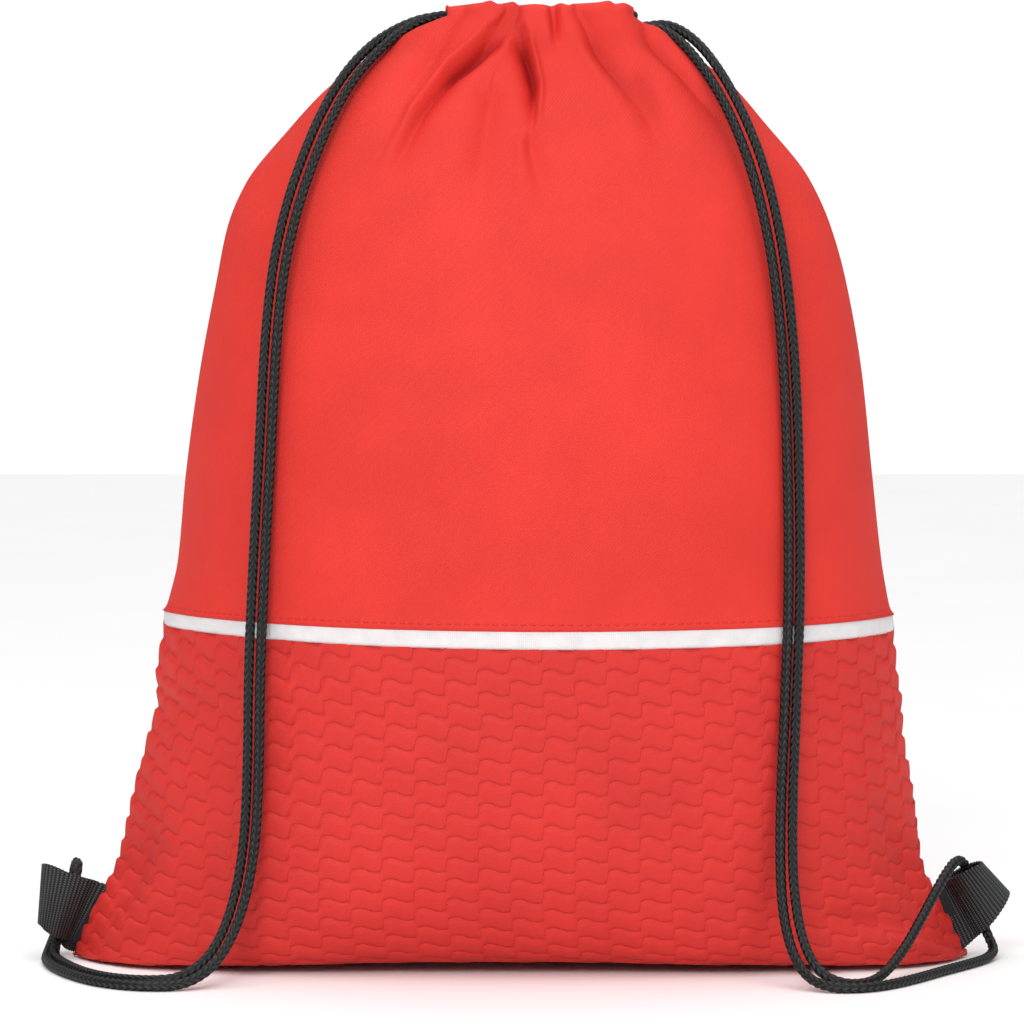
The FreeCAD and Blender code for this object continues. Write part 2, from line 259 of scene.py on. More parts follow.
# spun polyester thread in the cloth's red, a shade deeper in its own shadow
def redThread():
    material, tree, shader = newMaterial("spunPolyesterThread")
    place = addNode(tree, "ShaderNodeTexCoord")
    ply = addNode(tree, "ShaderNodeTexNoise", {"Vector": (place, "Object")}, {"Scale": 2500.0, "Detail": 2.0})
    colour = addNode(tree, "ShaderNodeMix", {0: (ply, "Fac")}, {6: linearColour("B21C1C"),
                     7: linearColour("D8322C")}, data_type="RGBA")
    tree.links.new(colour.outputs[2], shader.inputs["Base Color"])
    bump = addNode(tree, "ShaderNodeBump", {"Height": (ply, "Fac")}, {"Strength": 0.4, "Distance": 0.0001})
    tree.links.new(bump.outputs[0], shader.inputs["Normal"])
    shader.inputs["Roughness"].default_value = 0.55
    return material


# braided polypropylene: near black, each grain of the braid a small satin highlight, painted into the colour
# as grey on the grain's tip
def braidedCord():
    material, tree, shader = newMaterial("braidedPolypropyleneCord")
    uv = addNode(tree, "ShaderNodeUVMap", uv_map="flat")
    split = addNode(tree, "ShaderNodeSeparateXYZ", {0: uv})
    strand = mathNode(tree, "MULTIPLY", (split, 0), 2 * math.pi / 0.00034)
    fibre = mathNode(tree, "SINE", mathNode(tree, "MULTIPLY_ADD", (split, 1), 2 * math.pi / 0.0011, strand))
    place = addNode(tree, "ShaderNodeTexCoord")
    lint = addNode(tree, "ShaderNodeTexNoise", {"Vector": (place, "Object")},
                   {"Scale": 1400.0, "Detail": 3.0})
    crest = addNode(tree, "ShaderNodeAttribute", attribute_name="crest")
    # painted highlight: grey on the tip of each grain's crest, broken up by the lint noise
    tip = mathNode(tree, "POWER", (crest, "Fac"), 5.0)
    paintedGlint = mathNode(tree, "MULTIPLY", tip, mathNode(tree, "MULTIPLY", (lint, "Fac"), 1.6))
    colour = addNode(tree, "ShaderNodeMix", {0: paintedGlint}, {6: linearColour("030303"),
                     7: linearColour("484D50")}, data_type="RGBA")
    tree.links.new(colour.outputs[2], shader.inputs["Base Color"])
    bump = addNode(tree, "ShaderNodeBump", {"Height": mathNode(tree, "ADD", fibre, (lint, "Fac"))},
                   {"Strength": 0.35, "Distance": 0.00008})
    tree.links.new(bump.outputs[0], shader.inputs["Normal"])
    rough = mathNode(tree, "MULTIPLY_ADD", (lint, "Fac"), 0.25, 0.3)
    tree.links.new(rough.outputs[0], shader.inputs["Roughness"])
    shader.inputs["Specular IOR Level"].default_value = 0.32
    return material


# ribbed polypropylene webbing: thick weft ribs, the warp shows as short glossy dashes, drawn as painted grey
# highlights on the near black web
def ribbedWebbing():
    material, tree, shader = newMaterial("ribbedPolypropyleneWebbing")
    uv = addNode(tree, "ShaderNodeUVMap", uv_map="flat")
    split = addNode(tree, "ShaderNodeSeparateXYZ", {0: uv})
    along = mathNode(tree, "MULTIPLY", (split, 0), 1000 / tab["rib"])
    rib = mathNode(tree, "ABSOLUTE", mathNode(tree, "SINE", mathNode(tree, "MULTIPLY", along, math.pi)))
    odd = mathNode(tree, "MULTIPLY", mathNode(tree, "FLOOR", along), 0.5)
    dash = mathNode(tree, "ADD", mathNode(tree, "MULTIPLY", (split, 1), 1000 / tab["dash"]), odd)
    dash = mathNode(tree, "ABSOLUTE", mathNode(tree, "SINE", mathNode(tree, "MULTIPLY", dash, math.pi)))
    weave = mathNode(tree, "MULTIPLY", rib, dash)
    # painted highlight: grey on the crest of each rib and dash, near black between
    glint = mathNode(tree, "POWER", weave, 3.0)
    colour = addNode(tree, "ShaderNodeMix", {0: glint}, {6: linearColour("030303"),
                     7: linearColour("565B5E")}, data_type="RGBA")
    tree.links.new(colour.outputs[2], shader.inputs["Base Color"])
    bump = addNode(tree, "ShaderNodeBump", {"Height": weave}, {"Strength": 0.7, "Distance": 0.0003})
    tree.links.new(bump.outputs[0], shader.inputs["Normal"])
    shader.inputs["Roughness"].default_value = 0.42
    shader.inputs["Specular IOR Level"].default_value = 0.3
    return material


# smooth values between stations, with no overshoot
def smoothAlong(at, stations, values):
    stations = np.asarray(stations, float)
    values = np.asarray(values, float)
    gap = np.diff(stations)
    rate = np.diff(values) / gap
    slope = np.zeros(len(values))
    same = rate[:-1] * rate[1:] > 0
    harmonic = 2 * rate[:-1] * rate[1:] / np.where(same, rate[:-1] + rate[1:], 1)
    slope[1:-1] = np.where(same, harmonic, 0)
    slope[0], slope[-1] = rate[0], rate[-1]
    i = np.clip(np.searchsorted(stations, at, side="right") - 1, 0, len(gap) - 1)
    f = (at - stations[i]) / gap[i]
    return ((1 + 2 * f) * (1 - f) ** 2 * values[i] + f * (1 - f) ** 2 * gap[i] * slope[i]
            + f ** 2 * (3 - 2 * f) * values[i + 1] + f ** 2 * (f - 1) * gap[i] * slope[i + 1])


def smoothStep(low, high, value):
    share = np.clip((value - low) / (high - low), 0, 1)
    return share * share * (3 - 2 * share)


# a grid whose points and flat size are given by arrays of rows and columns, in mm
def gridPiece(name, x, y, z, across, along, material, flip=False, attributes=None):
    rows, columns = x.shape
    shape = bmesh.new()
    layer = shape.loops.layers.uv.new("flat")
    bmesh.ops.create_grid(shape, x_segments=columns - 1, y_segments=rows - 1, size=0.5)
    shape.verts.index_update()
    place = [round((vertex.co.y + 0.5) * (rows - 1)) * columns + round((vertex.co.x + 0.5) * (columns - 1))
             for vertex in shape.verts]
    points = np.stack((x, y, z), axis=-1).reshape(-1, 3) * mm
    flat = np.stack((across, along), axis=-1).reshape(-1, 2) * mm
    for vertex, k in zip(shape.verts, place):
        vertex.co = points[k]
    for face in shape.faces:
        face.smooth = True
        for loop in face.loops:
            loop[layer].uv = flat[place[loop.vert.index]]
    if flip:
        bmesh.ops.reverse_faces(shape, faces=shape.faces)
    mesh = bpy.data.meshes.new(name)
    shape.to_mesh(mesh)
    shape.free()
    for label, values in (attributes or {}).items():
        data = mesh.attributes.new(label, "FLOAT", "POINT").data
        data.foreach_set("value", values.ravel()[place])
    mesh.materials.append(material)
    piece = bpy.data.objects.new(name, mesh)
    bpy.context.collection.objects.link(piece)
    return piece


def thicken(piece, thickness, offset=-1.0):
    wall = piece.modifiers.new("wall", "SOLIDIFY")
    wall.thickness = thickness * mm
    wall.offset = offset
    wall.use_even_offset = False
    return piece


cord = {
    "diameter": 3.8,
    "columns": 8,           # columns of grains round the cord
    "pitch": 2.9,           # from one grain to the next
    "groove": 0.75,         # depth between the grains
    "slant": 0.85,          # pitches that a grain climbs across its column
    "ring": 0.42,           # between the tube's rings
    "around": 32,
}

leftRoute = (
    (-26.0, -6.4, 358.0), (-34.04, -2.35, 358.0), (-44.0, -3.4, 353.2), (-54.0, -10.6, 344.6),
    (-63.6, -18.6, 333.2), (-71.4, -26.0, 318.4), (-78.0, -32.4, 301.6), (-84.0, -37.2, 283.0),
    (-88.6, -41.0, 261.0), (-91.2, -45.2, 233.0), (-92.8, -49.6, 197.0), (-95.0, -52.8, 156.0),
    (-96.9, -54.2, 114.0), (-97.2, -55.8, 77.0), (-98.6, -59.4, 48.0), (-103.0, -66.0, 25.5),
    (-111.0, -75.5, 9.0), (-122.5, -84.0, 1.95), (-138.0, -86.5, 1.95), (-154.5, -76.5, 1.95),
    (-167.0, -57.5, 1.95), (-175.4, -38.0, 1.95), (-179.8, -20.8, 1.95), (-180.8, -6.6, 2.0),
    (-180.6, 4.6, 3.8), (-178.0, 11.8, 10.8), (-174.6, 15.0, 20.6), (-172.8, 15.2, 29.6),
    (-171.2, 11.4, 35.6), (-169.8, 5.8, 34.6), (-171.0, 1.9, 27.2), (-173.9, -0.6, 18.6),
    (-177.0, -1.4, 9.0), (-178.2, -6.4, 2.0), (-175.9, -18.4, 1.95), (-169.4, -36.0, 1.95),
    (-160.8, -54.4, 1.95), (-149.8, -71.0, 2.6), (-136.6, -80.6, 3.2), (-124.4, -79.0, 3.8),
    (-113.8, -71.4, 11.2), (-106.8, -62.8, 27.0), (-102.8, -57.4, 49.0), (-101.5, -54.6, 78.0),
    (-101.2, -53.2, 115.0), (-99.3, -51.8, 157.0), (-97.1, -48.4, 198.0), (-95.5, -43.8, 234.0),
    (-92.8, -39.4, 262.6), (-88.0, -35.2, 285.4), (-81.8, -29.8, 304.4), (-74.8, -22.8, 321.6),
    (-66.4, -14.6, 336.4), (-56.2, -5.8, 347.6), (-45.0, 1.6, 354.6), (-34.04, 2.35, 358.0),
    (-26.0, 6.4, 358.0),
)

rightRoute = (
    (38.0, -6.4, 353.8), (46.04, -2.35, 353.8), (54.6, -3.6, 352.6), (63.0, -10.0, 344.8),
    (71.6, -17.6, 332.4), (79.0, -25.2, 317.4), (85.2, -32.0, 300.2), (90.2, -36.8, 280.4),
    (94.2, -40.4, 256.6), (97.0, -44.8, 225.0), (98.2, -49.2, 186.0), (98.6, -52.2, 144.0),
    (97.2, -53.8, 104.0), (95.6, -56.2, 70.0), (95.0, -60.6, 44.0), (95.8, -66.6, 25.4),
    (98.8, -75.0, 12.2), (104.0, -83.8, 4.2), (112.6, -90.2, 1.95), (124.2, -89.4, 1.95),
    (134.6, -80.6, 1.95), (144.8, -66.6, 1.95), (157.0, -46.6, 1.95), (168.8, -29.0, 1.95),
    (177.0, -14.4, 1.95), (180.2, -4.0, 3.4), (177.6, 2.0, 9.0), (174.6, 0.8, 18.0),
    (172.0, -2.0, 27.6), (169.0, -6.0, 36.0), (165.0, -12.2, 39.4), (160.4, -20.4, 35.6),
    (154.4, -31.4, 28.0), (148.0, -43.4, 19.4), (141.2, -56.4, 11.0), (132.8, -71.4, 4.2),
    (125.8, -81.0, 2.2), (116.4, -85.0, 2.6), (108.2, -81.0, 6.2), (103.4, -73.6, 14.4),
    (100.6, -66.0, 27.2), (99.5, -60.0, 45.4), (100.0, -55.6, 71.0), (101.5, -53.0, 105.0),
    (102.9, -50.8, 145.0), (102.5, -47.4, 187.0), (101.3, -43.2, 226.0), (98.5, -39.0, 258.0),
    (94.6, -34.8, 282.6), (89.4, -29.6, 303.0), (82.8, -22.4, 320.4), (75.0, -14.2, 336.0),
    (65.8, -6.2, 348.6), (55.6, 1.2, 355.2), (46.04, 2.35, 353.8), (38.0, 6.4, 353.8),
)


# points read from a smooth spline that has the route as its control points
def splinePoints(route, name):
    data = bpy.data.curves.new(name + "Line", "CURVE")
    data.dimensions = "3D"
    data.resolution_u = 24
    spline = data.splines.new("NURBS")
    spline.points.add(len(route) - 1)
    for point, place in zip(spline.points, route):
        point.co = (place[0] * mm, place[1] * mm, place[2] * mm, 1)
    spline.order_u = 3
    spline.use_endpoint_u = True
    line = bpy.data.objects.new(name + "Line", data)
    bpy.context.collection.objects.link(line)
    mesh = bpy.data.meshes.new_from_object(line)
    points = np.array([vertex.co[:] for vertex in mesh.vertices]) / mm
    bpy.data.objects.remove(line)
    bpy.data.curves.remove(data)
    bpy.data.meshes.remove(mesh)
    return points


def evenlySpaced(points, gap):
    lengths = np.concatenate(([0], np.cumsum(np.linalg.norm(np.diff(points, axis=0), axis=1))))
    total = lengths[-1]
    at = np.linspace(0, total, int(total / gap) + 1)
    return np.stack([np.interp(at, lengths, points[:, i]) for i in range(3)], axis=1), at


# a tube of interlocked grains, each column slanted against its neighbours
def braidTube(name, line, material):
    points, at = evenlySpaced(line, cord["ring"])
    heading = np.gradient(points, axis=0)
    heading /= np.linalg.norm(heading, axis=1)[:, None]
    side = np.zeros_like(points)
    reference = np.array((0.0, 1.0, 0.0))
    for i, along in enumerate(heading):
        reference = reference - along * np.dot(reference, along)
        reference /= np.linalg.norm(reference)
        side[i] = reference
    third = np.cross(heading, side)
    turn = np.linspace(0, 2 * math.pi, cord["around"] + 1)
    column = turn / (2 * math.pi) * cord["columns"]
    share = column % 1
    way = np.where(np.floor(column) % 2 == 0, 1.0, -1.0)
    phase = at[:, None] / cord["pitch"] + (way * (share - 0.5))[None, :] * cord["slant"]
    grain = np.abs(np.sin(math.pi * phase)) ** 0.7
    pair = column / 2 % 1
    crown = np.abs(np.sin(math.pi * pair)) ** 0.5 * (1 - 0.3 * np.exp(-((pair - 0.5) / 0.08) ** 2))
    crest = grain * (0.3 + 0.7 * crown[None, :])
    radius = cord["diameter"] / 2 + 0.15 - cord["groove"] * (1 - crest)
    ring = (side[:, None, :] * np.cos(turn)[None, :, None]
            + third[:, None, :] * np.sin(turn)[None, :, None])
    place = points[:, None, :] + ring * radius[:, :, None]
    flat = np.repeat(turn[None, :] * cord["diameter"] / 2, len(at), axis=0)
    piece = gridPiece(name, place[:, :, 0], place[:, :, 1], place[:, :, 2], flat,
                      np.repeat(at[:, None], len(turn), axis=1), material,
                      attributes={"crest": crest})
    shape = bmesh.new()
    shape.from_mesh(piece.data)
    bmesh.ops.remove_doubles(shape, verts=shape.verts, dist=0.00001)
    bmesh.ops.holes_fill(shape, edges=[edge for edge in shape.edges if edge.is_boundary], sides=0)
    bmesh.ops.recalc_face_normals(shape, faces=shape.faces)
    shape.to_mesh(piece.data)
    shape.free()
    return piece


cordFinish = braidedCord()
for sideName, route in (("left", leftRoute), ("right", rightRoute)):
    line = splinePoints(route, sideName + "Cord")
    piece = braidTube(sideName + "_braided_cord", line, cordFinish)
    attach(piece, "bag")
    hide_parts(sideName + "_cord")
for sideName in ("left", "right"):
    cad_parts[sideName + "_cord_tunnel_run"].data.materials.clear()
    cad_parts[sideName + "_cord_tunnel_run"].data.materials.append(cordFinish)
print("cords laid")


# rings of the stuffed bag, from the bottom seam to the fold of the hem: left edge x and z, right
# edge x and z, height in the middle, half depth, roundness, half gap between front and back at
# the sides, and how blunt the front is across
rings = (
    (-171.0, 1.0, 169.9, 1.0, 4.6, 0.0, 0.62, 0.0, 6.0),
    (-171.0, 1.0, 169.9, 1.0, 4.4, 20.0, 0.62, 0.0, 6.0),
    (-170.8, 1.2, 169.7, 1.2, 4.0, 40.0, 0.62, 0.0, 6.0),
    (-169.6, 5.0, 168.4, 5.2, 7.5, 47.5, 0.64, 0.0, 4.6),
    (-166.0, 13.6, 164.0, 13.4, 15.0, 54.0, 0.67, 0.0, 3.4),
    (-160.6, 24.0, 158.0, 23.8, 25.5, 60.0, 0.70, 0.0, 2.7),
    (-154.2, 36.0, 152.4, 35.5, 39.0, 65.5, 0.72, 0.0, 2.3),
    (-147.0, 66.0, 148.1, 66.0, 68.0, 70.0, 0.75, 0.0, 2.1),
    (-141.0, 88.0, 144.5, 87.5, 88.0, 72.0, 0.76, 0.0, 2.0),
    (-138.2, 98.5, 144.0, 98.0, 98.0, 72.2, 0.76, 0.0, 2.0),
    (-138.6, 108.0, 142.5, 107.0, 108.0, 72.2, 0.77, 0.0, 2.0),
    (-135.6, 127.0, 140.8, 124.5, 123.6, 72.0, 0.77, 0.0, 2.0),
    (-135.0, 133.4, 140.0, 131.8, 131.4, 72.0, 0.77, 0.0, 2.0),
    (-131.0, 151.0, 136.8, 151.0, 150.5, 72.0, 0.78, 0.0, 2.0),
    (-127.7, 185.0, 133.0, 185.0, 185.5, 71.0, 0.78, 0.0, 2.0),
    (-122.4, 223.0, 129.0, 223.0, 224.0, 66.5, 0.78, 0.0, 2.0),
    (-116.0, 257.0, 123.0, 257.0, 259.0, 58.0, 0.78, 0.0, 2.0),
    (-111.4, 279.0, 117.0, 278.5, 282.0, 50.0, 0.78, 0.0, 2.0),
    (-104.5, 295.0, 108.5, 297.0, 302.0, 42.5, 0.78, 0.0, 2.0),
    (-88.0, 315.5, 92.0, 317.5, 321.5, 34.0, 0.78, 0.0, 2.0),
    (-71.0, 333.0, 75.5, 335.5, 336.0, 27.0, 0.79, 0.0, 2.0),
    (-50.0, 346.0, 55.0, 347.6, 345.5, 21.5, 0.80, 1.5, 2.0),
    (-35.0, 352.0, 46.0, 352.5, 351.0, 19.0, 0.72, 7.0, 2.0),
    (-28.0, 355.0, 42.0, 355.0, 356.0, 18.2, 0.66, 10.4, 2.0),
)
trimLow, trimHigh, hemFold = 11, 12, 23     # the rings at the trim's two edges and the fold

# folds that run down from the gathered neck: points from the top, depth at the top, half
# width at the top and the bottom, and how far the cloth stands up on the left and right side
folds = (
    {"line": ((-2.5, 360), (-3.6, 353), (-5.0, 345.5)), "depth": 6.0, "width": (3.0, 3.4),
     "sides": (1.0, 0.6), "lips": (0.2, 0.5)},
    {"line": ((-1.0, 351), (0.8, 346), (2.9, 340), (4.9, 331), (4.1, 318), (2.5, 309)), "depth": 8.0,
     "width": (1.5, 1.3), "sides": (2.6, 0.7), "lips": (0.0, 0.35)},
    {"line": ((2.7, 309), (5.3, 298), (11, 284)), "depth": 2.4, "width": (2.0, 4.5), "sides": (0.8, 1.6),
     "lips": (0.3, 0.1)},
    {"line": ((10.4, 361), (11.4, 355), (12.2, 348), (14.8, 343)), "depth": 6.5, "width": (1.3, 1.7),
     "sides": (0.8, 1.5), "lips": (0.5, 0.3)},
    {"line": ((18, 361), (22, 353), (29, 343), (38, 332), (46, 322), (57, 298)), "depth": 5.0,
     "width": (3.0, 7.0), "sides": (0.6, 1.5), "lips": (0.3, 0.1)},
    {"line": ((41, 358), (47.4, 347.6), (60, 337), (74, 319), (82, 304)), "depth": 4.4, "width": (1.8, 4.4),
     "sides": (1.5, 0.6), "lips": (0.1, 0.3)},
    {"line": ((46, 334), (53, 320), (60, 300)), "depth": 2.4, "width": (4.5, 7.0), "sides": (1.0, 1.0),
     "lips": (0.1, 0.1)},
    {"line": ((-4, 356), (-11, 348.4), (-25.8, 336.6), (-37.6, 321), (-49, 296), (-54, 285)), "depth": 5.6,
     "width": (1.6, 3.2), "sides": (0.6, 1.5), "lips": (0.4, 0.1)},
    {"line": ((-9, 347), (-19, 340), (-30, 333), (-34, 327)), "depth": 3.4, "width": (1.4, 2.2),
     "sides": (0.8, 1.3), "lips": (0.3, 0.2)},
    {"line": ((-16, 361), (-30, 347), (-44, 327), (-53, 303)), "depth": 3.0, "width": (2.2, 4.6),
     "sides": (1.0, 1.0), "lips": (0.2, 0.3)},
    {"line": ((-12, 326), (-15, 304), (-17, 274)), "depth": 2.8, "width": (4.0, 8.0), "sides": (0.8, 1.2),
     "lips": (0.2, 0.1)},
)

# soft creases that run up from the bottom corners
cornerFolds = (
    {"line": ((-166, 6), (-152, 22), (-141, 44), (-135, 70)), "depth": 2.6, "width": (3.0, 7.0),
     "sides": (0.8, 1.3), "lips": (0.3, 0.3)},
    {"line": ((-160, 4), (-140, 14), (-118, 30), (-104, 52)), "depth": 2.0, "width": (3.0, 8.0),
     "sides": (1.0, 1.0), "lips": (0.3, 0.3)},
    {"line": ((166, 6), (150, 15), (128, 20), (104, 22)), "depth": 2.6, "width": (2.4, 6.0),
     "sides": (1.0, 0.8), "lips": (0.3, 0.4)},
    {"line": ((163, 12), (150, 26), (140, 50), (134, 78)), "depth": 2.4, "width": (3.0, 7.0),
     "sides": (0.9, 1.2), "lips": (0.3, 0.3)},
)


def distanceToLine(x, z, line):
    best = np.full(x.shape, 1e6)
    side = np.ones(x.shape)
    travelled = np.zeros(x.shape)
    lengths = [math.dist(a, b) for a, b in zip(line, line[1:])]
    total = sum(lengths)
    before = 0.0
    for (x0, z0), (x1, z1), length in zip(line, line[1:], lengths):
        share = np.clip(((x - x0) * (x1 - x0) + (z - z0) * (z1 - z0)) / length ** 2, 0, 1)
        gap = np.hypot(x - x0 - share * (x1 - x0), z - z0 - share * (z1 - z0))
        cross = (x1 - x0) * (z - z0) - (z1 - z0) * (x - x0)
        closer = gap < best
        best = np.where(closer, gap, best)
        side = np.where(closer, np.sign(cross), side)
        travelled = np.where(closer, (before + share * length) / total, travelled)
        before += length
    return best, side, travelled


# how far the cloth sinks into the folds, and how far it stands out beside them
def foldShapes(x, z, lines, fade=0.35):
    valleys = np.zeros(x.shape)
    lips = np.zeros(x.shape)
    for fold in lines:
        gap, side, travelled = distanceToLine(x, z, fold["line"])
        width = fold["width"][0] + (fold["width"][1] - fold["width"][0]) * travelled
        strength = fold["depth"] * (1 - smoothStep(fade, 1.0, travelled))
        rightSide = side > 0
        past = gap / (width * np.where(rightSide, fold["sides"][1], fold["sides"][0]))
        valleys += strength * np.exp(-past ** 1.5)
        stand = np.where(rightSide, fold["lips"][1], fold["lips"][0])
        lips += strength * stand * np.exp(-(past - 2.3) ** 2 / 1.3)
    return valleys, lips


# slow swells of the cloth between the folds, the same on every front piece
def slackAt(x, z, edge):
    swell = (0.9 * np.sin(z / 27.0 + x / 61.0) * np.sin(x / 39.0 + 0.4)
             + 0.5 * np.sin(z / 14.0 - x / 33.0) * np.sin(x / 21.0 + 1.3))
    return swell * (1 - np.exp(-edge / 0.05))


def ringTable(column):
    return [ring[column] for ring in rings]


# length up the middle of the panel to each ring, so that rows can be even
def middleLengths():
    steps = [math.dist((a[4], a[5]), (b[4], b[5])) for a, b in zip(rings, rings[1:])]
    return np.concatenate(([0], np.cumsum(steps)))


ringAt = middleLengths()


# the panel's points at lengths up the middle and shares across; way -1 is the front
def panelSurface(at, shares, way):
    at = np.asarray(at)[:, None]
    t = np.asarray(shares)[None, :]
    leftX, leftZ, rightX, rightZ, middleZ, depth, roundness, gap, blunt = (
        smoothAlong(at, ringAt, ringTable(i)) for i in range(9))
    spread = 0.5 * (1 + (-(1 - t) ** 3 - 3 * roundness * (1 - t) ** 2 * t
                         + 3 * roundness * (1 - t) * t ** 2 + t ** 3))
    x = leftX + (rightX - leftX) * spread
    bulge = 1 - np.abs(2 * t - 1) ** blunt
    rise = (4 * t * (1 - t)) ** 2
    z = leftZ + (rightZ - leftZ) * spread
    z = z + (middleZ - (leftZ + rightZ) / 2) * rise
    y = way * (gap + (depth - gap) * bulge)
    return x, y, z


def outwardNormals(x, y, z, way):
    rowWay = np.stack([np.gradient(a, axis=0) for a in (x, y, z)], axis=-1)
    columnWay = np.stack([np.gradient(a, axis=1) for a in (x, y, z)], axis=-1)
    normal = np.cross(columnWay, rowWay)
    normal /= np.maximum(np.linalg.norm(normal, axis=-1), 1e-9)[..., None]
    flipped = np.sum(normal[..., 1]) * way < 0
    return -normal if flipped else normal


def flatSizes(x, y, z):
    across = np.sqrt(np.diff(x, axis=1) ** 2 + np.diff(y, axis=1) ** 2 + np.diff(z, axis=1) ** 2)
    across = np.concatenate((np.zeros((len(x), 1)), np.cumsum(across, axis=1)), axis=1)
    return across - across[:, -1:] / 2


def evenRows(low, high, gap):
    return np.linspace(low, high, max(2, int(round((high - low) / gap)) + 1))


def embossHeight(across, along):
    column = (across + along * emboss["lean"] - emboss["start"]) / emboss["column"]
    share = column % 1
    step = smoothStep(1 - emboss["link"], 1.0, share)
    line = (0.5 * (np.floor(column) + step)
            + emboss["wave"] / emboss["row"] * np.sin(2 * math.pi * share))
    below = (line - along / emboss["row"]) % 1
    return smoothStep(0, 0.16, below) * (1 - below ** 2)


trimLowAt, trimHighAt, foldAt = ringAt[trimLow], ringAt[trimHigh], ringAt[hemFold]

panel = {
    "cloth": 0.8,
    "embossGap": 1.2,       # between the rows of points of the embossed panel
    "upperGap": 1.5,
    "backGap": 2.4,
    "tuck": 2.0,            # how far the embossed panel goes up behind the trim
    "lap": 0.7,             # how far the gathered panel comes down over the trim
    "lapProud": 1.7,
    "hemRound": 3.8,        # half the tunnel's width
    "hemCrown": 3.4,        # height of the fold
    "hemDown": 11.0,        # how far the turned edge comes down inside
    "hemLobe": 3.6,         # how far the gathers swell out of the hem
    "ground": 0.5,
}

# height of the hem's fold along the neck
hemOutline = (
    (-28.0, 360.9), (-22.4, 361.5), (-15.0, 362.2), (-12.0, 362.9), (-8.9, 361.7), (-3.4, 362.6),
    (-0.8, 361.2), (4.6, 361.5), (8.0, 361.3), (10.5, 360.9), (14.4, 361.9), (17.5, 361.2),
    (19.0, 361.8), (28.1, 362.3), (32.5, 362.9), (35.0, 361.8), (38.0, 362.2), (42.0, 360.8),
)


def frontLower():
    at = evenRows(0.0, trimLowAt + panel["tuck"], panel["embossGap"])
    shares = np.linspace(0, 1, 278)
    x, y, z = panelSurface(at, shares, -1)
    across = flatSizes(x, y, z)
    along = np.repeat(at[:, None] - trimLowAt, len(shares), axis=1)
    normal = outwardNormals(x, y, z, -1)
    low = smoothStep(28, 56, at)[:, None]
    edge = np.minimum(shares, 1 - shares)[None, :]
    relief = emboss["relief"] * embossHeight(across, along) * (0.15 + 0.85 * low)
    valleys, lips = foldShapes(x, z, cornerFolds, 0.5)
    seam = 1 - np.exp(-edge / 0.02)
    slack = (slackAt(x, z, edge) + (lips - valleys) * seam) * low
    push = (relief + slack - 0.6 * seam)[..., None] * normal
    x, y, z = x + push[..., 0], y + push[..., 1], np.maximum(z + push[..., 2], panel["ground"])
    piece = gridPiece("front_embossed_panel", x, y, z, across, along, embossedPolyester())
    thicken(piece, panel["cloth"])
    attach(piece, "bag")
    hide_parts("front_lower_panel")
    return piece


# rows of a panel from its lower edge up to the hem, over the fold and down inside
def hemmedPanel(name, low, gap, columns, way, material, foldsShow):
    at = evenRows(low, foldAt, gap)
    shares = np.linspace(0, 1, columns)
    x, y, z = panelSurface(at, shares, way)
    normal = outwardNormals(x, y, z, way)
    edge = np.minimum(shares, 1 - shares)[None, :]
    seam = 1 - np.exp(-edge / 0.03)
    valleys, lips = foldShapes(x, z, folds)
    inHem = smoothStep(343, 351, z)
    gathers = panel["hemLobe"] - np.minimum(valleys, panel["hemLobe"] + 0.8)
    sink = (lips * (1 - inHem) + inHem * gathers - (1 - inHem) * valleys) * foldsShow
    push = slackAt(x, z, edge) + sink * seam
    if way < 0:
        push = push + panel["lapProud"] * np.exp(-(at - low) / 1.6)[:, None]
    x, y, z = (a + push * normal[..., i] for i, a in enumerate((x, y, z)))
    crown = smoothAlong(np.clip(x, -28, 42), *zip(*hemOutline)) - panel["hemCrown"]
    z = z + (crown - z[-1][None, :]) * smoothStep(foldAt - 22, foldAt, at)[:, None]
    z = np.maximum(z, panel["ground"])
    # painted shade: how far the colour darkens in the deep folds, less inside the hem
    paintedFoldShade = foldsShow * smoothStep(2.2, 8.5, valleys * seam) * (1 - 0.75 * inHem)
    turnX, turnY, turnZ = [], [], []
    for angle in np.linspace(15, 180, 10):
        bend = math.radians(angle)
        turnX.append(x[-1])
        turnY.append(y[-1] - way * panel["hemRound"] * (1 - math.cos(bend)))
        turnZ.append(z[-1] + panel["hemCrown"] * math.sin(bend))
    for down in evenRows(1.5, panel["hemDown"], 1.8):
        turnX.append(x[-1])
        turnY.append(y[-1] - way * panel["hemRound"] * 2)
        turnZ.append(z[-1] - down)
    paintedFoldShade = np.concatenate((paintedFoldShade, np.repeat(paintedFoldShade[-1:], len(turnX), axis=0)))
    x, y, z = (np.concatenate((a, b)) for a, b in ((x, turnX), (y, turnY), (z, turnZ)))
    across = flatSizes(x, y, z)
    middle = columns // 2
    steps = np.hypot(np.diff(y[:, middle]), np.diff(z[:, middle]))
    along = np.repeat(np.concatenate(([0], np.cumsum(steps)))[:, None], columns, axis=1)
    piece = gridPiece(name, x, y, z, across, along, material, flip=way > 0, attributes={"paintedFoldShade": paintedFoldShade})
    thicken(piece, panel["cloth"])
    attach(piece, "bag")
    return piece


clothFinish = wovenPolyester()
lowerPiece = frontLower()
upperPiece = hemmedPanel("front_gathered_panel", trimHighAt - panel["lap"], panel["upperGap"], 280, -1,
                         clothFinish, 1.0)
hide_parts("front_upper_panel", "front_hem_tunnel")
backPiece = hemmedPanel("back_gathered_panel", 0.0, panel["backGap"], 150, 1, clothFinish, 0.7)
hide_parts("back_panel", "back_hem_tunnel")
print("panels sewn")

trim = {
    "proud": 1.0,
    "thick": 0.9,
    "rows": 11,
    "columns": 261,
}


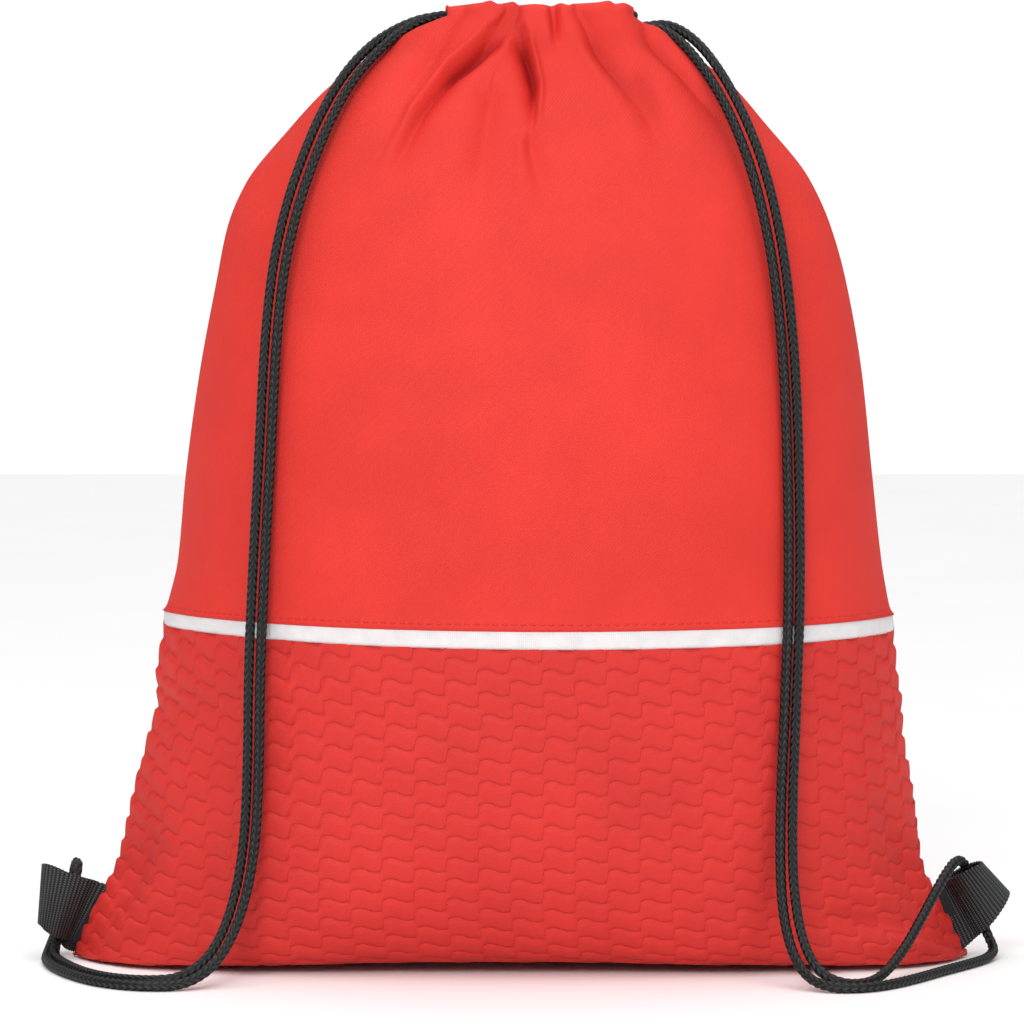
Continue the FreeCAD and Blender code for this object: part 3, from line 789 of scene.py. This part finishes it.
def trimTape():
    at = np.linspace(trimLowAt, trimHighAt, trim["rows"])
    shares = np.linspace(0, 1, trim["columns"])
    x, y, z = panelSurface(at, shares, -1)
    normal = outwardNormals(x, y, z, -1)
    rounded = np.sqrt(1 - np.abs(np.linspace(-1, 1, trim["rows"])) ** 6)[:, None]
    edge = np.minimum(shares, 1 - shares)[None, :]
    across = flatSizes(x, y, z)
    along = np.repeat(at[:, None], trim["columns"], axis=1)
    push = trim["proud"] * (0.2 + 0.8 * rounded) + slackAt(x, z, edge)
    x, y, z = (a + push * normal[..., i] for i, a in enumerate((x, y, z)))
    piece = gridPiece("folded_trim_tape", x, y, z, across, along, whiteTape())
    thicken(piece, trim["thick"])
    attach(piece, "bag")
    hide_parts("trim_band")


trimTape()

stitchRow = {
    "above": 1.4,           # from the trim to the row
    "pitch": 3.4,
    "length": 2.4,
    "thread": 0.6,
}


def topstitch():
    shares = np.linspace(0.003, 0.997, 1200)
    rowAt = trimHighAt + stitchRow["above"]
    at = np.array([rowAt - 0.2, rowAt, rowAt + 0.2])
    x, y, z = panelSurface(at, shares, -1)
    normal = outwardNormals(x, y, z, -1)
    edge = np.minimum(shares, 1 - shares)[None, :]
    lift = panel["lapProud"] * math.exp(-(stitchRow["above"] + panel["lap"]) / 1.6)
    push = slackAt(x, z, edge) + lift + 0.12
    line = np.stack([a + push * normal[..., i] for i, a in enumerate((x, y, z))], axis=-1)[1]
    lengths = np.concatenate(([0], np.cumsum(np.linalg.norm(np.diff(line, axis=0), axis=1))))
    count = int(lengths[-1] / stitchRow["pitch"])
    shape = bmesh.new()
    for i in range(count):
        middle = (i + 0.5) * lengths[-1] / count
        ends = [np.array([np.interp(middle + off, lengths, line[:, k]) for k in range(3)])
                for off in (-stitchRow["length"] / 2, stitchRow["length"] / 2)]
        made = bmesh.ops.create_icosphere(shape, subdivisions=1, radius=0.5)["verts"]
        size = (stitchRow["length"] * mm, stitchRow["thread"] * mm, stitchRow["thread"] * mm)
        turn = Vector((1, 0, 0)).rotation_difference(Vector(ends[1] - ends[0])).to_matrix()
        bmesh.ops.scale(shape, verts=made, vec=size)
        bmesh.ops.rotate(shape, verts=made, cent=(0, 0, 0), matrix=turn)
        bmesh.ops.translate(shape, verts=made, vec=Vector((ends[0] + ends[1]) / 2) * mm)
    for face in shape.faces:
        face.smooth = True
    mesh = bpy.data.meshes.new("trim_stitches")
    shape.to_mesh(mesh)
    shape.free()
    mesh.materials.append(redThread())
    piece = bpy.data.objects.new("trim_stitches", mesh)
    bpy.context.collection.objects.link(piece)
    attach(piece, "bag")
    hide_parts("trim_topstitch")


topstitch()


# overlocked allowance inside the side and bottom seams
def seamStrip():
    at = evenRows(ringAt[2], ringAt[18], 3.0)
    outline = []
    for share, take in ((0.0, slice(None, None, -1)), (1.0, slice(None))):
        x, y, z = panelSurface(at, [share], -1)
        outline.append(np.stack((x[:, 0], z[:, 0]), axis=1)[take])
    edge = np.concatenate(outline)
    heading = np.gradient(edge, axis=0)
    heading /= np.linalg.norm(heading, axis=1)[:, None]
    inward = np.stack((-heading[:, 1], heading[:, 0]), axis=1)
    steps = np.linspace(1.2, 9.0, 6)
    x = np.clip(edge[:, 0][None, :] + inward[:, 0][None, :] * steps[:, None], -169.5, 168.5)
    z = np.maximum(edge[:, 1][None, :] + inward[:, 1][None, :] * steps[:, None], 1.6)
    wave = 0.12 * np.sin(np.arange(len(edge)) * 1.7)[None, :] * steps[:, None] / 9.0
    y = np.zeros_like(x) + wave
    across = flatSizes(x, y, z)
    piece = gridPiece("overlocked_allowance", x, y, z, across, np.repeat(steps[:, None], len(edge), axis=1),
                      clothFinish)
    thicken(piece, 1.2, 0.0)
    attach(piece, "bag")
    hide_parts("seam_overlock")


seamStrip()
print("trim and seams sewn")


tab = {
    "width": 25.0,
    "web": 1.2,
    "reach": 20.0,
    "bulge": 7.0,
    "gap": 1.0,
    "root": 8.0,            # how far the ends go into the seam
    "lean": 27.4,           # degrees, how far the seam leans outwards
    "rib": 1.4,
    "dash": 0.9,
    "scallop": 0.5,         # how far the edges dip between the ribs
    "thin": 0.62,           # share of the thickness between the ribs
    "ground": 0.8,
    "left": {"side": -1, "twist": -34.0, "fan": -27.4, "lift": 0.0, "skew": 4.0},
    "right": {"side": 1, "twist": 43.0, "fan": 15.0, "lift": 15.0, "skew": 0.0},
}


# a direction in the plane of the side seams: 0 degrees points down, 90 away from the bag
def seamWay(side, degrees):
    angle = np.radians(degrees)
    return np.stack(np.broadcast_arrays(side * np.sin(angle), 0 * angle, -np.cos(angle)), axis=-1)


def webbingTab(sideName, material):
    shape = tab[sideName]
    side = shape["side"]
    low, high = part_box(sideName + "_tab_root")
    lean = math.radians(tab["lean"])
    outer = max(abs(low[0]), abs(high[0])) / mm - tab["width"] / 2 * math.sin(lean)
    middle = np.array((side * outer, 0, high[2] / mm - tab["width"] / 2 * math.cos(lean)))
    out = seamWay(side, tab["lean"] + 90 + shape["lift"])
    reach, bulge, web = tab["reach"], tab["bulge"], tab["web"]
    half = [(-tab["root"], 0.55 * web), (-1.0, 0.58 * web), (tab["gap"], 0.75 * web),
            (0.22 * reach, 0.55 * bulge), (0.48 * reach, 0.94 * bulge), (0.74 * reach, 0.86 * bulge),
            (0.92 * reach, 0.48 * bulge)]
    stations = [(a, -b) for a, b in half] + [(0.97 * reach, 0.0)] + half[::-1]
    steps = np.concatenate(([0], np.cumsum([math.dist(a, b) for a, b in zip(stations, stations[1:])])))
    at = np.linspace(0, steps[-1], 210)
    outAt = smoothAlong(at, steps, [station[0] for station in stations])
    depthAt = smoothAlong(at, steps, [station[1] for station in stations])
    share = outAt / reach
    turn = np.radians(shape["twist"]) * share
    across = seamWay(side, tab["lean"] + shape["fan"] * share) * np.cos(turn)[:, None]
    across[:, 1] += np.sin(turn)
    inLoop = np.clip((at - steps[2]) / (steps[-3] - steps[2]), 0, 1)
    centre = middle + out * outAt[:, None] + across * (shape["skew"] * inLoop)[:, None]
    centre[:, 1] += depthAt
    widths = np.linspace(-0.5, 0.5, 61)
    ribShare = np.abs(np.sin(math.pi * at / tab["rib"]))
    full = tab["width"] - tab["scallop"] * (1 - ribShare)
    place = centre[:, None, :] + across[:, None, :] * (widths[None, :] * full[:, None])[..., None]
    x, y, z = (place[..., i] for i in range(3))
    along = np.repeat(at[:, None], len(widths), axis=1)
    beside = np.repeat((widths * tab["width"])[None, :], len(at), axis=0)
    piece = gridPiece(sideName + "_ribbed_tab", x, y, np.maximum(z, tab["ground"]), along, beside, material)
    thicken(piece, tab["web"] - 0.1, 0.0)
    ribs = piece.vertex_groups.new(name="ribs")     # the web is thinner between its ribs
    layer = piece.data.uv_layers["flat"].data
    for loop, flat in zip(piece.data.loops, layer):
        crest = abs(math.sin(math.pi * flat.uv[0] / mm / tab["rib"]))
        ribs.add([loop.vertex_index], tab["thin"] + (1 - tab["thin"]) * crest, "REPLACE")
    piece.modifiers["wall"].vertex_group = "ribs"
    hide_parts(sideName + "_webbing_tab")
    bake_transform(piece)


webbingFinish = ribbedWebbing()
for sideName in ("left", "right"):
    webbingTab(sideName, webbingFinish)
    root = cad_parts[sideName + "_tab_root"]
    root.data.materials.clear()
    root.data.materials.append(webbingFinish)
print("tabs folded")


studio = {
    "floor": ("FAFAFA", "FFFFFF"),
    "floorHalf": 4.0,       # metres
    "ambient": 0.38,
    "backdrop": 1.05,
    "ceiling": 2.1,
    "panels": (             # name, place, size, power
        ("keyPanel", (-0.5, -2.0, 1.3), 0.9, 25.5),
        ("fillPanel", (1.3, -2.0, 0.9), 1.2, 9),
    ),
}


def layFloor():
    material, tree, shader = newMaterial("paleStudioFloor")
    place = addNode(tree, "ShaderNodeTexCoord")
    grain = addNode(tree, "ShaderNodeTexNoise", {"Vector": (place, "Object")}, {"Scale": 6.0})
    colour = addNode(tree, "ShaderNodeMix", {0: (grain, "Fac")}, {6: linearColour(studio["floor"][0]),
                     7: linearColour(studio["floor"][1])}, data_type="RGBA")
    tree.links.new(colour.outputs[2], shader.inputs["Base Color"])
    shader.inputs["Roughness"].default_value = 0.5
    shape = bmesh.new()
    bmesh.ops.create_grid(shape, x_segments=1, y_segments=1, size=studio["floorHalf"])
    mesh = bpy.data.meshes.new("studio_floor")
    shape.to_mesh(mesh)
    shape.free()
    mesh.materials.append(material)
    floor = bpy.data.objects.new("studio_floor", mesh)
    bpy.context.collection.objects.link(floor)


def lightStudio():
    world = bpy.data.worlds.new("paleStudio")
    world.use_nodes = True
    tree = world.node_tree
    seen = addNode(tree, "ShaderNodeLightPath")
    strength = addNode(tree, "ShaderNodeMapRange", {0: (seen, "Is Camera Ray")},
                       {3: studio["ambient"], 4: studio["backdrop"]})
    tree.links.new(strength.outputs[0], tree.nodes["Background"].inputs[1])
    tree.nodes["Background"].inputs[0].default_value = (1, 1, 1, 1)
    bpy.context.scene.world = world
    data = bpy.data.lights.new("ceiling", "SUN")
    data.energy = studio["ceiling"]
    data.angle = math.radians(80)
    bpy.context.collection.objects.link(bpy.data.objects.new("ceiling", data))
    for name, spot, size, power in studio["panels"]:
        data = bpy.data.lights.new(name, "AREA")
        data.size = size
        data.energy = power
        lamp = bpy.data.objects.new(name, data)
        lamp.location = spot
        lamp.rotation_euler = (Vector((0, 0, 0.17)) - Vector(spot)).to_track_quat("-Z", "Y").to_euler()
        bpy.context.collection.objects.link(lamp)


layFloor()
lightStudio()
print("studio lit")
